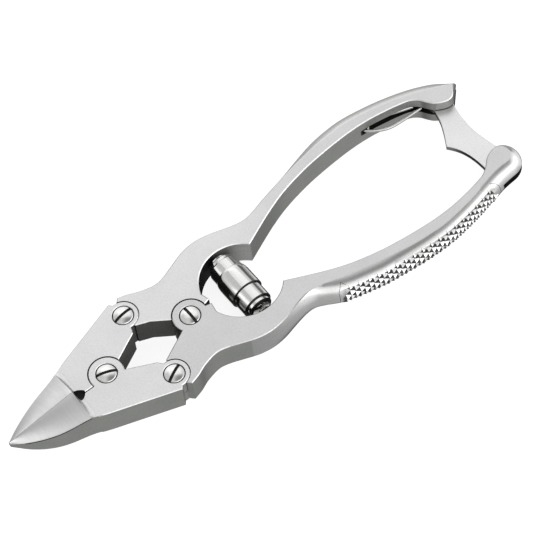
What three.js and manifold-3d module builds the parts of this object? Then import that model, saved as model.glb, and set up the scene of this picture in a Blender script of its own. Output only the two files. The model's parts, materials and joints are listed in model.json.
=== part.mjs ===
// Double-action nail nipper, closed and latched, lying on its side.
// Millimetres, +Z up, +X from the cutting tip to the handle ends, +Y towards the upper handle.
import * as THREE from 'three';
import { mergeVertices } from 'three/addons/utils/BufferGeometryUtils.js';
import Module from 'manifold-3d';

const wasm = await Module();
wasm.setup();

// Driving dimensions. Plan positions are measured from the jaw pivot, heights from the mid-plane.
const PLATE = 8.4;                    // thickness of jaws and handles
const HALF = PLATE / 2;
const LAYER_GAP = 0.15;               // each half-lap stops this far from the mid-plane
const FIT = 0.3;                      // clearance between a piece and what it sits in
const PIVOT_PITCH = 26;               // jaw pivot to handle pivot
const LINK_HALF = 10.9;               // link pivots stand this far off the centre line
const BOSS_MAIN = 4.65;               // boss radius on the centre line
const BOSS_LINK = 4.0;                // boss radius at the two link pivots
const TIP_X = -30.1;
const HEAD_X = -10.2;                 // raised rear lip of the cutting head
const RECESS = { x: 42, r: 10.7 };    // round opening that holds the spring barrel
const STUD_Y = 10.8;                  // ball centres of the two barrel studs
const STUD_BALL = 2.6;
const LATCH_PIVOT = [115.4, 12.0];
const CATCH_PIN = [112.2, -15.6];
const SPRING_PIN = [96.6, 17.9];
const SLOT_HALF = 1.2;                // half height of the two latch slots
const LATCH_PLATE = 1.7;
const REST_LIFT = 4.6;                // mid-plane height above the surface it lies on
const CENTRE_X = 45.961;              // middle of the overall length

const PIVOTS = {
  jaw: [0, 0],
  handle: [PIVOT_PITCH, 0],
  upper: [PIVOT_PITCH / 2, LINK_HALF],
  lower: [PIVOT_PITCH / 2, -LINK_HALF],
};

// Solids and placing

function toSolid(geometry) {
  const bare = geometry.index ? geometry.toNonIndexed() : geometry.clone();
  bare.deleteAttribute('normal');
  bare.deleteAttribute('uv');
  const merged = mergeVertices(bare, 1e-4);
  return new wasm.Manifold(new wasm.Mesh({
    numProp: 3,
    vertProperties: new Float32Array(merged.attributes.position.array),
    triVerts: new Uint32Array(merged.index.array),
  }));
}

function toGeometry(solid) {
  const mesh = solid.getMesh();
  const geometry = new THREE.BufferGeometry();
  geometry.setAttribute('position', new THREE.BufferAttribute(mesh.vertProperties, 3));
  geometry.setIndex(new THREE.BufferAttribute(mesh.triVerts, 1));
  geometry.computeVertexNormals();
  return geometry;
}

function remap(geometry, place) {
  const position = geometry.attributes.position;
  const point = new THREE.Vector3();
  for (let i = 0; i < position.count; i += 1) {
    point.fromBufferAttribute(position, i);
    place(point);
    position.setXYZ(i, point.x, point.y, point.z);
  }
  return geometry;
}

function slab(shape, low, high) {
  const depth = high - low;
  const geometry = new THREE.ExtrudeGeometry(shape, { depth, bevelEnabled: false, curveSegments: 4 });
  return toSolid(geometry.translate(0, 0, low));
}

function disc([x, y], radius, low, high, sides = 28) {
  const geometry = new THREE.CylinderGeometry(radius, radius, high - low, sides);
  return toSolid(geometry.rotateX(Math.PI / 2).translate(x, y, (low + high) / 2));
}

function block(low, high) {
  const size = high.map((value, i) => value - low[i]);
  const geometry = new THREE.BoxGeometry(...size);
  return toSolid(geometry.translate(low[0] + size[0] / 2, low[1] + size[1] / 2, low[2] + size[2] / 2));
}

function ball([x, y], radius, sides = 16) {
  return toSolid(new THREE.SphereGeometry(radius, sides, sides / 2).translate(x, y, 0));
}

function vectors(points) {
  return points.map(([x, y]) => new THREE.Vector2(x, y));
}

function polygon(points) {
  return new THREE.Shape(vectors(points));
}

function spline(points) {
  return new THREE.SplineCurve(vectors(points));
}

// Half-lap pivots: one arm keeps the upper boss, the other the lower boss

function lap(solid, pivot, radius, onTop) {
  const boss = onTop ? [LAYER_GAP, HALF] : [-HALF, -LAYER_GAP];
  const seat = onTop ? [-HALF - 1, LAYER_GAP] : [-LAYER_GAP, HALF + 1];
  return solid
    .subtract(disc(pivot, radius + FIT, ...seat))
    .add(disc(pivot, radius, ...boss));
}

const SCREW = { head: 2.65, headDepth: 1.7, crown: 0.35, shank: 1.7, slot: 0.8, slotDepth: 0.9 };

function drillTop(solid, pivot) {
  return solid
    .subtract(disc(pivot, SCREW.head + FIT, HALF - SCREW.headDepth - FIT, HALF + 1))
    .subtract(disc(pivot, SCREW.shank + FIT, -HALF - 1, HALF + 1, 24));
}

function drillBottom(solid, pivot) {
  return solid.subtract(disc(pivot, SCREW.shank + FIT, -HALF - 1, HALF + 1, 24));
}

function screw([x, y], slotAngle) {
  const { head, headDepth, crown, shank, slot, slotDepth } = SCREW;
  const foot = -HALF + 0.2;
  const top = HALF - headDepth;
  const profile = [
    [0, foot], [shank - 0.3, foot], [shank, foot + 0.4], [shank, top], [head, top],
    [head, HALF - 0.15], [head * 0.75, HALF + crown * 0.6], [head * 0.4, HALF + crown], [0, HALF + crown],
  ];
  const turned = new THREE.LatheGeometry(profile.map(([r, z]) => new THREE.Vector2(r, z)), 24);
  const groove = new THREE.BoxGeometry(head * 2.4, slot, slotDepth * 2).translate(0, 0, HALF + crown);
  const body = toSolid(turned.rotateX(Math.PI / 2)).subtract(toSolid(groove.rotateZ(slotAngle)));
  return body.translate([x, y, 0]);
}

// Cutting head: u runs from the rear lip to the tip, heights are from the plate's upper face

const HEAD = {
  halfWidth: (u) => 8.0 * (1 - u ** 1.6) + 0.25,
  ridge: (u) => 2.1 - 2.9 * u,
  shoulder: (u) => -1.3 * u - 3.8 * u * (1 - u),
  underside: (u) => -PLATE + 6.0 * u ** 3,
};
const HEAD_END = 0.985;

function headHalf(side) {
  const section = new THREE.Shape();
  section.moveTo(0, 1);
  section.lineTo(0, 0.72);
  section.quadraticCurveTo(0.08, 0.25, 0.32, 0);
  section.lineTo(0.9, 0);
  section.quadraticCurveTo(1, 0, 1, 0.1);
  section.lineTo(1, 1);
  section.lineTo(0.75, 1);
  section.lineTo(0.5, 1);
  section.lineTo(0.25, 1);
  const wedge = new THREE.ExtrudeGeometry(section, {
    depth: 1,
    steps: 12,
    bevelEnabled: false,
    curveSegments: 4,
  });
  remap(wedge, (point) => {
    const u = (1 - point.z) * HEAD_END;
    const across = point.x;
    const roof = THREE.MathUtils.lerp(HEAD.ridge(u), HEAD.shoulder(u), across ** 1.7);
    const height = THREE.MathUtils.lerp(HEAD.underside(u), roof, point.y);
    point.set(HEAD_X + (TIP_X - HEAD_X) * u, FIT / 2 + across * HEAD.halfWidth(u), HALF + height);
  });
  const half = toSolid(wedge);
  return side > 0 ? half : half.mirror([0, 1, 0]);
}

// Jaws

const JAW_PLATE = [
  [-10.4, 0.15], [-8.9, 0.15], [-8.9, 2.0], [-7.4, 2.2], [-6.4, 1.2], [-6.4, -0.75], [-4.7, -0.75],
  [0, 0.15], [4.9, 0.6], [11.9, 5.2], [12.6, 7.0], [12.6, 14.0], [11.9, 15.7], [5, 13.6], [-1, 11.4],
  [-6.2, 10.0], [-8.8, 9.0], [-10.4, 8.2],
];

const LOWER_JAW_PLATE = [
  [-10.4, -0.15], [-10.4, -8.2], [-8.8, -9.0], [-6.2, -10.0], [-1, -11.4], [5, -13.6], [11.9, -15.7],
  [12.6, -14.0], [12.6, -7.0], [11.9, -5.2], [4.9, -1.5], [0, -0.15], [-4.7, -1.05], [-6.4, -1.05],
  [-6.4, -2.4], [-7.4, -2.7], [-8.9, -2.0], [-8.9, -0.15],
];

const RELIEF_HOLE = [[-9.0, 2.0], [-7.4, 2.3], [-6.3, 1.2], [-6.3, -2.2], [-7.4, -2.8], [-9.0, -2.0]];

function reliefHole() {
  return slab(polygon(RELIEF_HOLE), -HALF - 1, HALF + 3);
}

function jaw(side) {
  const outline = side > 0 ? JAW_PLATE : LOWER_JAW_PLATE;
  const link = side > 0 ? PIVOTS.upper : PIVOTS.lower;
  let body = slab(polygon(outline), -HALF, HALF).add(headHalf(side)).subtract(reliefHole());
  body = lap(body, PIVOTS.jaw, BOSS_MAIN, side < 0);
  body = lap(body, link, BOSS_LINK, true);
  body = side < 0 ? drillTop(body, PIVOTS.jaw) : drillBottom(body, PIVOTS.jaw);
  return drillTop(body, link);
}

// Handles: the grip is a D-section between an inner wall line and an outer crease line

const INNER_LINE = [
  [49.6, 7.5], [55.4, 9.5], [60.3, 11.7], [66, 13.8], [73.3, 15.6], [83, 17.0], [92.5, 17.4],
  [102, 16.5], [108.5, 15.0],
];
const CREASE_LINE = [
  [46.5, 15.8], [53.5, 14.2], [59, 15.3], [64.8, 16.7], [71.8, 18.2], [81.5, 20.0], [92, 20.4],
  [103, 18.7], [110.5, 16.5],
];
const UPPER_END = {
  inner: [[112.7, 10.4], [117.9, 8.7]],
  crease: [[115.8, 14.3], [120.6, 12.0]],
  bulge: [0, 0.2, 0.75, 1.5, 2.2, 3.0, 3.3, 3.3, 3.3, 3.0, 1.8],
};
const LOWER_END = {
  inner: [[111.6, 12.5], [115.2, 10.6]],
  crease: [[114.4, 15.4], [117.6, 14.6]],
  bulge: [0, 1.2, 3.2, 4.1, 4.2, 3.3, 3.0, 3.0, 3.3, 3.2, 2.6],
};
const THUMB = { x: 116.7, y: 14.9, r: 4.7, flat: 2.9 };

function bulgeAt(bulge, t) {
  const place = t * (bulge.length - 1);
  const i = Math.min(Math.floor(place), bulge.length - 2);
  return THREE.MathUtils.lerp(bulge[i], bulge[i + 1], place - i);
}

function grip(end) {
  const inner = spline([...INNER_LINE, ...end.inner]);
  const crease = spline([...CREASE_LINE, ...end.crease]);
  const section = new THREE.Shape();
  section.moveTo(0, -1);
  section.lineTo(1, -1);
  section.absellipse(1, 0, 1, 1, -Math.PI / 2, Math.PI / 2, false);
  section.lineTo(0, 1);
  const bar = new THREE.ExtrudeGeometry(section, {
    depth: 1,
    steps: 30,
    bevelEnabled: false,
    curveSegments: 4,
  });
  remap(bar, (point) => {
    const t = point.z;
    const from = inner.getPoint(t);
    const to = crease.getPoint(t);
    const tangent = crease.getTangent(t);
    const across = Math.min(point.x, 1);
    const out = Math.max(point.x - 1, 0) * bulgeAt(end.bulge, t);
    const x = THREE.MathUtils.lerp(from.x, to.x, across) - tangent.y * out;
    const y = THREE.MathUtils.lerp(from.y, to.y, across) + tangent.x * out;
    point.set(x, y, point.y * HALF);
  });
  return toSolid(bar);
}

const SHOULDER_PLATE = [
  [50.3, 7.1], [51, 14.45], [47.1, 15.5], [43.4, 16.6], [40, 17.05], [36.5, 16.7], [32.5, 15.4],
  [28.5, 13.8], [25, 13.0], [20.5, 13.85], [14.8, 16.0], [13.4, 14.4],
];
const UPPER_ROOT = [[13.4, 7.0], [17.2, 5.1], [21.5, 2.1], [PIVOT_PITCH, 0.15], [31.4, 0.15], [44, 1.0]];
const LOWER_ROOT = [[13.4, 7.0], [21.9, 2.2], [PIVOT_PITCH, 0.15], [30.9, 0.15], [32.6, 1.1], [44, 1.2]];

function handlePlate(root) {
  return slab(polygon([...SHOULDER_PLATE, ...root]), -HALF, HALF)
    .subtract(disc([RECESS.x, 0], RECESS.r, -HALF - 1, HALF + 1, 48));
}

function studHole(side) {
  const hole = new THREE.CylinderGeometry(1.5 + FIT, 1.5 + FIT, 6.4, 20);
  return toSolid(hole.translate(RECESS.x, side * (RECESS.r + 2.2), 0));
}

function thumbEnd() {
  const { x, y, r, flat } = THUMB;
  const edge = new THREE.Path();
  edge.moveTo(0, -HALF);
  edge.lineTo(flat, -HALF);
  edge.absellipse(flat, 0, r - flat, HALF, -Math.PI / 2, Math.PI / 2, false);
  edge.lineTo(0, HALF);
  const turned = new THREE.LatheGeometry(edge.getPoints(4), 24);
  return toSolid(turned.rotateX(Math.PI / 2).translate(x, y, 0));
}

const LATCH_MOUTH = [
  [94.5, 12], [94.5, 17.9], [95.2, 19.5], [96.6, 20.0], [98.6, 19.9], [104, 18.4], [111, 16.3],
  [115.4, 16.0], [118.6, 14.0], [125, 13.4], [125, 4], [108, 4],
];

function upperLatchSlot() {
  return slab(polygon(LATCH_MOUTH), -SLOT_HALF, SLOT_HALF);
}

function pinHole([x, y], radius, reach) {
  return disc([x, y], radius + FIT, -reach - FIT, reach + FIT, 20);
}

function upperHandle() {
  let body = handlePlate(UPPER_ROOT).add(grip(UPPER_END));
  body = lap(body, PIVOTS.handle, BOSS_MAIN, false);
  body = lap(body, PIVOTS.upper, BOSS_LINK, false);
  body = drillBottom(body, PIVOTS.handle);
  body = drillBottom(body, PIVOTS.upper);
  body = body.subtract(studHole(1)).subtract(upperLatchSlot());
  return body.subtract(pinHole(LATCH_PIVOT, 1.0, 3.0)).subtract(pinHole(SPRING_PIN, 0.5, 2.6));
}

function lowerHandle() {
  let body = handlePlate(LOWER_ROOT).add(grip(LOWER_END)).add(thumbEnd()).mirror([0, 1, 0]);
  body = lap(body, PIVOTS.handle, BOSS_MAIN, true);
  body = lap(body, PIVOTS.lower, BOSS_LINK, false);
  body = drillTop(body, PIVOTS.handle);
  body = drillBottom(body, PIVOTS.lower);
  const slot = block([110.4, -26, -SLOT_HALF], [126, -5, SLOT_HALF]);
  return body.subtract(studHole(-1)).subtract(slot).subtract(pinHole(CATCH_PIN, 1.0, 2.9));
}

// Spring barrel: telescoping sleeves on the centre line of the recess, axis along Y

const BARREL = {
  outer: 4.6,
  outerBore: 4.2,
  middle: 3.9,
  middleBore: 3.55,
  plunger: 3.25,
  plungerBore: 2.75,
  neck: 3.85,
};

function turnedY(profile, sides = 28) {
  const points = profile.map(([r, y]) => new THREE.Vector2(r, y));
  return toSolid(new THREE.LatheGeometry(points, sides).translate(RECESS.x, 0, 0));
}

function endCap() {
  const { neck, outerBore } = BARREL;
  const cap = turnedY([
    [0, 8.9], [neck - 0.5, 8.9], [neck, 8.4], [neck, 4.9], [outerBore - 0.05, 4.9], [outerBore - 0.05, 4.1],
    [2.7, 4.1], [2.7, 6.9], [0, 6.9],
  ].reverse());
  return cap.subtract(ball([RECESS.x, STUD_Y], STUD_BALL + FIT));
}

function outerSleeve() {
  const { outer, outerBore, neck } = BARREL;
  return turnedY([
    [outerBore + 0.1, 3.9], [outerBore, 3.8], [outerBore, -3.3], [outer - 0.15, -3.3], [outer, -3.1],
    [outer, 4.8], [outer - 0.3, 5.2], [neck + FIT, 5.2], [neck + FIT, 5.1], [outerBore + 0.15, 5.1],
    [outerBore + 0.1, 3.9],
  ]);
}

function middleSleeve() {
  const { middle, middleBore } = BARREL;
  return turnedY([
    [middleBore, 3.6], [middleBore, -6.9], [middle - 0.2, -6.9], [middle, -6.7], [middle, 3.6],
    [middleBore, 3.6],
  ]);
}

function plunger() {
  const { plunger: radius, plungerBore } = BARREL;
  const cup = turnedY([
    [0, -8.6], [radius - 0.3, -8.6], [radius, -8.3], [radius, 3.4], [plungerBore, 3.4],
    [plungerBore, -6.3], [0, -6.3],
  ]);
  return cup.subtract(ball([RECESS.x, -STUD_Y], STUD_BALL + FIT));
}

const COIL = { radius: 2.0, wire: 0.4, turns: 6, start: -5.5, length: 11.6 };

class Coil extends THREE.Curve {
  getPoint(t) {
    const angle = t * Math.PI * 2 * COIL.turns;
    const y = COIL.start + t * COIL.length;
    return new THREE.Vector3(RECESS.x + COIL.radius * Math.cos(angle), y, COIL.radius * Math.sin(angle));
  }
}

function barrelSpring() {
  const wire = new THREE.Shape().absarc(0, 0, COIL.wire, 0, Math.PI * 2, false);
  return toSolid(new THREE.ExtrudeGeometry(wire, { steps: 66, extrudePath: new Coil(), curveSegments: 3 }));
}

function ballStud(side) {
  const shank = new THREE.CylinderGeometry(1.5, 1.5, 5.6, 20).translate(RECESS.x, side * (RECESS.r + 2.1), 0);
  const dome = ball([RECESS.x, side * STUD_Y], STUD_BALL);
  const room = STUD_BALL + 1;
  const reach = RECESS.r - 0.6;
  const low = side > 0 ? 0 : -reach;
  const keep = block([RECESS.x - room, low, -room], [RECESS.x + room, low + reach, room]);
  return dome.intersect(keep).add(toSolid(shank));
}

// Latch at the handle ends

const LATCH_START = [112.9, 10.6];
const LATCH_INNER_TOP = [[111.9, 6.6], [110.1, 2.8], [108.2, -0.5]];
const LATCH_INNER_LOW = [[110.1, -3.8], [111.2, -7.6], [111.5, -12.6]];
const LATCH_TONGUE = [[111.5, -13.9], [113.6, -13.9], [113.6, -17.4]];
const LATCH_OUTER = [[117.2, -5.2], [116.7, 0.2], [117.2, 5.8], [118.2, 10.2]];
const LATCH_HEEL = 3.0;

function latchLever() {
  const outline = new THREE.Shape();
  outline.moveTo(...LATCH_START);
  outline.splineThru(vectors(LATCH_INNER_TOP));
  outline.splineThru(vectors(LATCH_INNER_LOW));
  LATCH_TONGUE.forEach(([x, y]) => outline.lineTo(x, y));
  outline.quadraticCurveTo(114.4, -18.3, 115.4, -17.2);
  outline.lineTo(117.9, -10);
  outline.splineThru(vectors(LATCH_OUTER));
  const reach = LATCH_PLATE / 2;
  const heel = disc(LATCH_PIVOT, LATCH_HEEL, -reach, reach, 32);
  const bore = disc(LATCH_PIVOT, 1.0 + FIT, -reach - 1, reach + 1, 20);
  return slab(outline, -reach, reach).add(heel).subtract(bore);
}

function latchSpring() {
  const [x, y] = SPRING_PIN;
  const loop = 1.25;
  const route = [
    [109.6, 15.3], [104, 17.2], [99.4, 18.9], [x, y + loop], [x - loop, y], [x, y - loop],
    [101.2, 14.2], [106.5, 13.6], [111.2, 13.5],
  ];
  const path = new THREE.CatmullRomCurve3(route.map(([px, py]) => new THREE.Vector3(px, py, 0)));
  const wire = new THREE.Shape().absarc(0, 0, 0.45, 0, Math.PI * 2, false);
  return toSolid(new THREE.ExtrudeGeometry(wire, { steps: 40, extrudePath: path, curveSegments: 3 }));
}

// Materials and assembly

const FINISHES = {
  satin_steel: { color: 0xcfd0d2, roughness: 0.38, metalness: 0.9 },
  polished_steel: { color: 0xe3e2df, roughness: 0.12, metalness: 1.0 },
  spring_steel: { color: 0xb9b8b4, roughness: 0.3, metalness: 1.0 },
};

const PIECES = [
  ['upper_jaw', 'satin_steel', jaw(1)],
  ['lower_jaw', 'satin_steel', jaw(-1)],
  ['upper_handle', 'satin_steel', upperHandle()],
  ['lower_handle', 'satin_steel', lowerHandle()],
  ['jaw_pivot_screw', 'polished_steel', screw(PIVOTS.jaw, -0.35)],
  ['handle_pivot_screw', 'polished_steel', screw(PIVOTS.handle, 1.57)],
  ['upper_link_screw', 'polished_steel', screw(PIVOTS.upper, 0.12)],
  ['lower_link_screw', 'polished_steel', screw(PIVOTS.lower, 0.47)],
  ['upper_ball_stud', 'polished_steel', ballStud(1)],
  ['lower_ball_stud', 'polished_steel', ballStud(-1)],
  ['barrel_end_cap', 'polished_steel', endCap()],
  ['barrel_outer_sleeve', 'polished_steel', outerSleeve()],
  ['barrel_middle_sleeve', 'polished_steel', middleSleeve()],
  ['barrel_plunger', 'polished_steel', plunger()],
  ['barrel_spring', 'spring_steel', barrelSpring()],
  ['latch_lever', 'satin_steel', latchLever()],
  ['latch_pivot_pin', 'polished_steel', disc(LATCH_PIVOT, 1.0, -3.0, 3.0, 20)],
  ['latch_spring', 'spring_steel', latchSpring()],
  ['latch_spring_pin', 'polished_steel', disc(SPRING_PIN, 0.5, -2.6, 2.6, 16)],
  ['latch_catch_pin', 'polished_steel', disc(CATCH_PIN, 1.0, -2.9, 2.9, 20)],
];

const nipper = new THREE.Group();
const laid = new THREE.Group();
laid.position.set(-CENTRE_X, 0, REST_LIFT);
nipper.add(laid);
for (const [name, finish, solid] of PIECES) {
  const mesh = new THREE.Mesh(toGeometry(solid), new THREE.MeshStandardMaterial(FINISHES[finish]));
  mesh.name = name;
  laid.add(mesh);
}

export default nipper;
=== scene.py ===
# Double-action nail nipper, closed and latched: the finished look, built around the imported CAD.
import bpy
import bmesh
import json
import math
from mathutils import Matrix, Vector


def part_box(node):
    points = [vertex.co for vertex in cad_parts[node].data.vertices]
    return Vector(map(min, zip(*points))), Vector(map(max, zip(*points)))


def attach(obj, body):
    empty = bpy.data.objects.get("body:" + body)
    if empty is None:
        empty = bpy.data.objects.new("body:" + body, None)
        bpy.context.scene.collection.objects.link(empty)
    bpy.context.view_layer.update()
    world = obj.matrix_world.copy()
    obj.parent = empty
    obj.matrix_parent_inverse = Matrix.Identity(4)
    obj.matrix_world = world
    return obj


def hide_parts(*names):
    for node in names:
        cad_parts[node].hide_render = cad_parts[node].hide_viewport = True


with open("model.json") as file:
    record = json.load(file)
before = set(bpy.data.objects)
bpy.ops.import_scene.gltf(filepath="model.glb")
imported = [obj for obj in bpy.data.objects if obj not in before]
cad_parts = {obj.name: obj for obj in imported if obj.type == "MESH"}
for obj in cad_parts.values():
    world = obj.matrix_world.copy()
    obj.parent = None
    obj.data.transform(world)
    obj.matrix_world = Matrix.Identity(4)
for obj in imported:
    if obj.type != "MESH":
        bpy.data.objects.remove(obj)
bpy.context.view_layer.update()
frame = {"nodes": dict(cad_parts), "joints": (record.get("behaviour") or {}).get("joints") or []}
scene = bpy.context.scene
joints = {joint["name"]: joint for joint in frame["joints"]}

# Every shape is drawn in millimetres from the jaw pivot at the plate's mid-plane,
# then placed in the row frame, which is in metres
perMetre = 1000
origin = Vector(joints["jaw_pivot"]["pos_m"])
plateLow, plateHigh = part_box("upper_jaw")[0].z, 2 * origin.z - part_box("upper_jaw")[0].z
half = (plateHigh - plateLow) * perMetre / 2  # half the plate thickness


def toDrawing(point):
    return (point - origin) * perMetre


def pivotOf(name):
    place = toDrawing(Vector(joints[name]["pos_m"]))
    return (place.x, place.y)


jawPivot = (0.0, 0.0)
handlePivot = pivotOf("handle_pivot")
lowerLink = pivotOf("lower_link_pivot")
upperLink = (lowerLink[0], -lowerLink[1])
latchPivot = pivotOf("latch_swing")
barrelX = pivotOf("barrel_swivel")[0]
studY = -pivotOf("barrel_swivel")[1]


# Mesh helpers

def newObject(name, mesh):
    piece = bpy.data.objects.new(name, mesh)
    scene.collection.objects.link(piece)
    return piece


def ringWalls(rings, size):
    # the faces between rings of points, each ring joined to the next
    return [[k * size + i, k * size + (i + 1) % size, (k + 1) * size + (i + 1) % size, (k + 1) * size + i]
            for k in range(rings - 1) for i in range(size)]


def leftOf(line, i):
    # the unit direction to the left of a line at one of its points
    (ax, ay), (bx, by) = line[max(i - 1, 0)][:2], line[min(i + 1, len(line) - 1)][:2]
    size = math.hypot(bx - ax, by - ay)
    return -(by - ay) / size, (bx - ax) / size


def meshObject(name, points, faces):
    mesh = bpy.data.meshes.new(name)
    mesh.from_pydata([tuple(p) for p in points], [], faces)
    shell = bmesh.new()
    shell.from_mesh(mesh)
    bmesh.ops.recalc_face_normals(shell, faces=shell.faces)
    shell.to_mesh(mesh)
    shell.free()
    return newObject(name, mesh)


def splineAt(a, b, c, d, t):
    return 0.5 * (2 * b + (c - a) * t + (2 * a - 5 * b + 4 * c - d) * t * t
                  + (3 * b - a - 3 * c + d) * t ** 3)


def curveThrough(points, step=1.1):
    # a soft curve through the given points, each (x, y) or (x, y, bulge)
    points = [tuple(p) + (0.0,) * (3 - len(p)) for p in points]
    if len(points) < 3:
        return points
    padded = [points[0]] + points + [points[-1]]
    curve = []
    for i in range(1, len(padded) - 2):
        a, b, c, d = padded[i - 1:i + 3]
        length = math.dist(b[:2], c[:2])
        count = max(1, round(length / step))
        for k in range(count):
            t = k / count
            curve.append(tuple(splineAt(a[n], b[n], c[n], d[n], t) for n in range(3)))
    curve.append(points[-1])
    return curve


def arc(centre, radius, start, end, count):
    # start and end in degrees
    turns = [math.radians(start + (end - start) * k / count) for k in range(count + 1)]
    return [(centre[0] + radius * math.cos(a), centre[1] + radius * math.sin(a), 0.0) for a in turns]


def between(a, b, t):
    return a + (b - a) * t


def joinRuns(*runs):
    # one closed outline, anticlockwise, without doubled points
    rim, closest = [], 0.02
    for run in runs:
        for p in run:
            p = tuple(p) + (0.0,) * (3 - len(p))
            if not rim or math.dist(rim[-1][:2], p[:2]) > closest:
                rim.append(p)
    if math.dist(rim[0][:2], rim[-1][:2]) < closest:
        rim.pop()
    area = sum(rim[i][0] * rim[i - 1][1] - rim[i - 1][0] * rim[i][1] for i in range(len(rim)))
    return rim if area < 0 else rim[::-1]


def flip(points):
    return [(p[0], -p[1]) + tuple(p[2:]) for p in points]


prismSettings = {
    "shortestMiter": 0.35,  # keeps sharp corners from running out
    "fullSwell": 2.0, "chamferLoss": 0.88,  # a fully swollen wall loses most of its chamfer
    "leastBulge": 0.02, "mostBulge": 0.97,  # the second is a share of the wall's half height
}


def swellArc(top, bulge):
    # the arc through both edges of a swollen wall
    bulge = min(bulge, top * prismSettings["mostBulge"])
    return bulge, (top * top + bulge * bulge) / (2 * bulge)


def prism(name, rim, low=None, high=None, chamfer=0.22, levels=14, dip=None):
    # a plate with a chamfered rim, whose wall swells outwards as an arc where a point has a bulge
    s = prismSettings
    low = -half if low is None else low
    high = half if high is None else high
    middle, reach = (low + high) / 2, (high - low) / 2
    count = len(rim)
    miters = []
    for i in range(count):
        (ax, ay), (bx, by), (cx, cy) = (rim[k % count][:2] for k in (i - 1, i, i + 1))
        la, lb = math.hypot(bx - ax, by - ay), math.hypot(cx - bx, cy - by)
        na, nb = ((by - ay) / la, (ax - bx) / la), ((cy - by) / lb, (bx - cx) / lb)
        share = max(1 + na[0] * nb[0] + na[1] * nb[1], s["shortestMiter"])
        miters.append(((na[0] + nb[0]) / share, (na[1] + nb[1]) / share))
    points = []
    for k in range(levels + 3):
        for (x, y, bulge), (mx, my) in zip(rim, miters):
            swell = min(max(bulge / s["fullSwell"], 0.0), 1.0)
            drop = chamfer * (1 - s["chamferLoss"] * swell)
            if k in (0, levels + 2):
                out, z = -chamfer, reach * (1 if k else -1)
            else:
                top = reach - drop
                t = (k - 1) / levels * 2 - 1
                if bulge > s["leastBulge"]:
                    bulge, rho = swellArc(top, bulge)
                    lean = math.atan2(top, rho - bulge) * t
                    z, out = rho * math.sin(lean), rho * math.cos(lean) - (rho - bulge)
                    if dip:
                        out -= dip(x, z)
                else:
                    z, out = top * t, 0.0
            points.append((x + mx * out, y + my * out, middle + z))
    rings = levels + 3
    caps = [list(range(count))[::-1], [(rings - 1) * count + i for i in range(count)]]
    return meshObject(name, points, caps + ringWalls(rings, count))


def turned(name, profile, centre=(0.0, 0.0, 0.0), axis="z", sides=64):
    # profile (radius, height) from one end to the other; a loop if it doesn't start on the axis
    closed = profile[0][0] > 1e-6
    points, rings = [], []
    for r, h in profile:
        if r < 1e-6:
            rings.append([len(points)])
            points.append((0, 0, h))
        else:
            rings.append([len(points) + k for k in range(sides)])
            for k in range(sides):
                a = 2 * math.pi * k / sides
                points.append((r * math.cos(a), r * math.sin(a), h))
    pairs = list(zip(rings, rings[1:] + rings[:1])) if closed else list(zip(rings, rings[1:]))
    faces = []
    for a, b in pairs:
        for k in range(sides):
            j = (k + 1) % sides
            if len(a) == 1 and len(b) > 1:
                faces.append([a[0], b[j], b[k]])
            elif len(b) == 1 and len(a) > 1:
                faces.append([a[k], a[j], b[0]])
            elif len(a) > 1:
                faces.append([a[k], a[j], b[j], b[k]])
    if axis == "y":
        points = [(p[0], p[2], -p[1]) for p in points]
    points = [tuple(p[n] + centre[n] for n in range(3)) for p in points]
    return meshObject(name, points, faces)


def drum(name, centre, radius, low, high, topEdge=0.0, lowEdge=0.0, sides=72):
    # positive edges are chamfers, negative ones flare outwards as on a countersink
    bottom = [(radius - lowEdge, low), (radius, low + abs(lowEdge))] if lowEdge else [(radius, low)]
    top = [(radius, high - abs(topEdge)), (radius - topEdge, high)] if topEdge else [(radius, high)]
    profile = [(0, low)] + bottom + top + [(0, high)]
    return turned(name, profile, (centre[0], centre[1], 0), "z", sides)


def carve(body, steps):
    for operation, tool in steps:
        change = body.modifiers.new(operation, "BOOLEAN")
        change.operation = operation
        change.solver = "MANIFOLD"
        change.object = tool
    graph = bpy.context.evaluated_depsgraph_get()
    mesh = bpy.data.meshes.new_from_object(body.evaluated_get(graph))
    body.modifiers.clear()
    old = body.data
    body.data = mesh
    bpy.data.meshes.remove(old)
    for _, tool in steps:
        bpy.data.meshes.remove(tool.data)
    return body


def place(piece):
    # from drawing millimetres to the row frame
    piece.data.transform(Matrix.Translation(origin) @ Matrix.Scale(1 / perMetre, 4))
    return piece


def shade(piece, angle=15):
    # smooth along curves, crisp at edges and all round each flat face
    levelFrom = 0.99995
    shell = bmesh.new()
    shell.from_mesh(piece.data)
    bmesh.ops.remove_doubles(shell, verts=shell.verts, dist=0.0005)
    bmesh.ops.dissolve_degenerate(shell, dist=0.0002, edges=shell.edges)
    limit = math.radians(angle)
    flat = {face: abs(face.normal.z) > levelFrom for face in shell.faces}
    for face in shell.faces:
        face.smooth = True
    for edge in shell.edges:
        near = edge.link_faces
        edge.smooth = (len(near) == 2 and flat[near[0]] == flat[near[1]]
                       and near[0].normal.angle(near[1].normal, 0.0) < limit)
    shell.to_mesh(piece.data)
    shell.free()
    return piece


def finish(piece, body, replaced, palette, choose=None):
    # palette holds the piece's materials by name, and choose names the one for each face
    piece.data.materials.clear()
    for material in palette.values():
        piece.data.materials.append(material)
    place(piece)
    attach(piece, body)
    if replaced:
        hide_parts(*replaced)
    if choose:
        names = list(palette)
        for face in piece.data.polygons:
            face.material_index = names.index(choose(face, toDrawing(face.center)))
    return piece


# Shader groups

def newGroup(name, inputs, outputs):
    tree = bpy.data.node_groups.new(name, "ShaderNodeTree")
    for label, kind, value in inputs:
        socket = tree.interface.new_socket(label, in_out="INPUT", socket_type=kind)
        if value is not None:
            socket.default_value = value
    for label, kind in outputs:
        tree.interface.new_socket(label, in_out="OUTPUT", socket_type=kind)
    return tree, tree.nodes.new("NodeGroupInput"), tree.nodes.new("NodeGroupOutput")


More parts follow.
